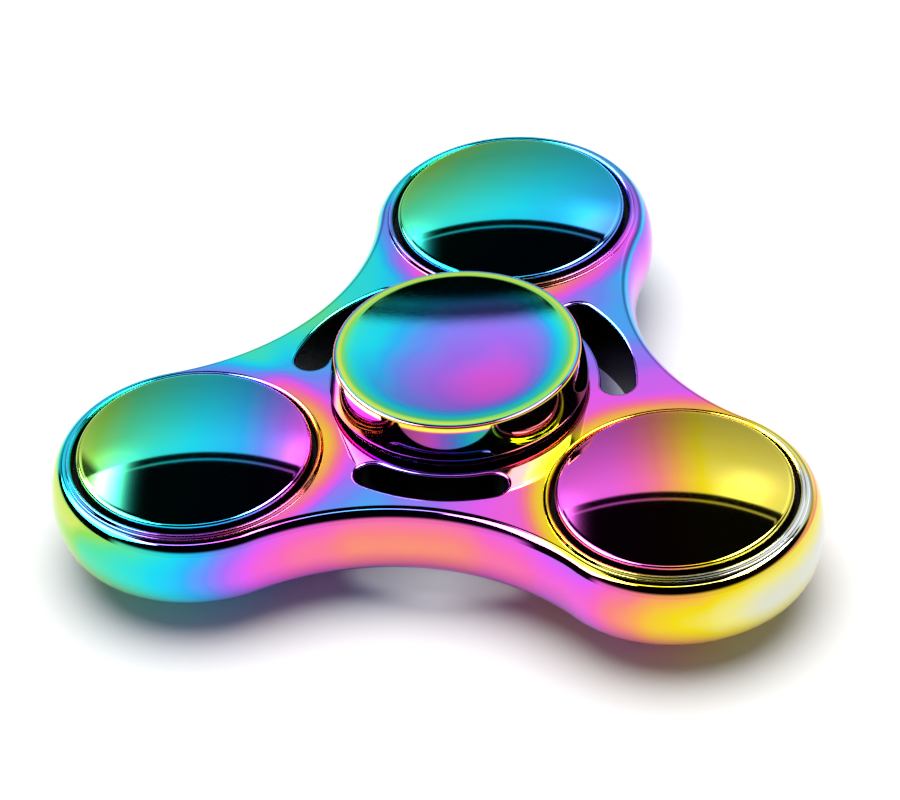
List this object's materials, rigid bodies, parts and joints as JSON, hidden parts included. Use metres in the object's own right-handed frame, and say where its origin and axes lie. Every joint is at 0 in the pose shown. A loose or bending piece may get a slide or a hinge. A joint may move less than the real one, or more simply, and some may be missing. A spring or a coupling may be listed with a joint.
{
  "type": "three-armed hand spinner",
  "caption": "Three-armed metal hand spinner that turns on a ball bearing between two dished finger caps.",
  "frame": {"origin": "middle of the ball bearing, on the spin axis, midway between the body's two faces", "axes": "+Z along the spin axis towards the top finger cap, +Y along the back arm"},
  "size_m": [0.0688, 0.0631, 0.0154],
  "materials": {
    "coated_zinc": "mirror-polished zinc casting with an iridescent vapour-deposited coating that runs from green and cyan through violet and magenta to gold",
    "coated_arm_cap": "mirror-polished steel dome with the same iridescent coating",
    "coated_finger_cap": "mirror-polished dished cap with the same iridescent coating, yellow-green at the rim, blue to magenta in the middle",
    "bearing_steel": "ground and polished bearing steel",
    "shield_steel": "thin pressed steel, satin",
    "cage_nylon": "natural moulded nylon",
    "stud_steel": "turned steel, satin"
  },
  "bodies": {
    "spindle": {"finger_cap_top": "coated_finger_cap", "finger_cap_bottom": "coated_finger_cap", "centre_stud": "stud_steel", "bearing_inner_ring": "bearing_steel"},
    "rotor": {"tri_arm_body": "coated_zinc", "arm_cap_back_top": "coated_arm_cap", "arm_cap_back_bottom": "coated_arm_cap", "arm_cap_left_top": "coated_arm_cap", "arm_cap_left_bottom": "coated_arm_cap", "arm_cap_right_top": "coated_arm_cap", "arm_cap_right_bottom": "coated_arm_cap", "bearing_outer_ring": "bearing_steel", "bearing_shield_top": "shield_steel", "bearing_shield_bottom": "shield_steel"},
    "cage": {"bearing_cage": "cage_nylon"},
    "ball_1": {"bearing_ball_1": "bearing_steel"},
    "ball_2": {"bearing_ball_2": "bearing_steel"},
    "ball_3": {"bearing_ball_3": "bearing_steel"},
    "ball_4": {"bearing_ball_4": "bearing_steel"},
    "ball_5": {"bearing_ball_5": "bearing_steel"},
    "ball_6": {"bearing_ball_6": "bearing_steel"},
    "ball_7": {"bearing_ball_7": "bearing_steel"}
  },
  "joints": [
    {"name": "spin", "type": "hinge", "parent": "spindle", "child": "rotor", "pos_m": [0, 0, 0], "axis": [0, 0, 1], "continuous": true},
    {"name": "cage_orbit", "type": "hinge", "parent": "spindle", "child": "cage", "pos_m": [0, 0, 0], "axis": [0, 0, 1], "continuous": true},
    {"name": "ball_1_roll", "type": "hinge", "parent": "cage", "child": "ball_1", "pos_m": [0, 0.0075, 0], "axis": [0, 0, 1], "continuous": true},
    {"name": "ball_2_roll", "type": "hinge", "parent": "cage", "child": "ball_2", "pos_m": [-0.00586, 0.00468, 0], "axis": [0, 0, 1], "continuous": true},
    {"name": "ball_3_roll", "type": "hinge", "parent": "cage", "child": "ball_3", "pos_m": [-0.00731, -0.00167, 0], "axis": [0, 0, 1], "continuous": true},
    {"name": "ball_4_roll", "type": "hinge", "parent": "cage", "child": "ball_4", "pos_m": [-0.00325, -0.00676, 0], "axis": [0, 0, 1], "continuous": true},
    {"name": "ball_5_roll", "type": "hinge", "parent": "cage", "child": "ball_5", "pos_m": [0.00325, -0.00676, 0], "axis": [0, 0, 1], "continuous": true},
    {"name": "ball_6_roll", "type": "hinge", "parent": "cage", "child": "ball_6", "pos_m": [0.00731, -0.00167, 0], "axis": [0, 0, 1], "continuous": true},
    {"name": "ball_7_roll", "type": "hinge", "parent": "cage", "child": "ball_7", "pos_m": [0.00586, 0.00468, 0], "axis": [0, 0, 1], "continuous": true}
  ],
  "couplings": [
    {"joint": "cage_orbit", "follows": "spin", "ratio": 0.6323},
    {"joint": "ball_1_roll", "follows": "spin", "ratio": 1.7573},
    {"joint": "ball_2_roll", "follows": "spin", "ratio": 1.7573},
    {"joint": "ball_3_roll", "follows": "spin", "ratio": 1.7573},
    {"joint": "ball_4_roll", "follows": "spin", "ratio": 1.7573},
    {"joint": "ball_5_roll", "follows": "spin", "ratio": 1.7573},
    {"joint": "ball_6_roll", "follows": "spin", "ratio": 1.7573},
    {"joint": "ball_7_roll", "follows": "spin", "ratio": 1.7573}
  ]
}
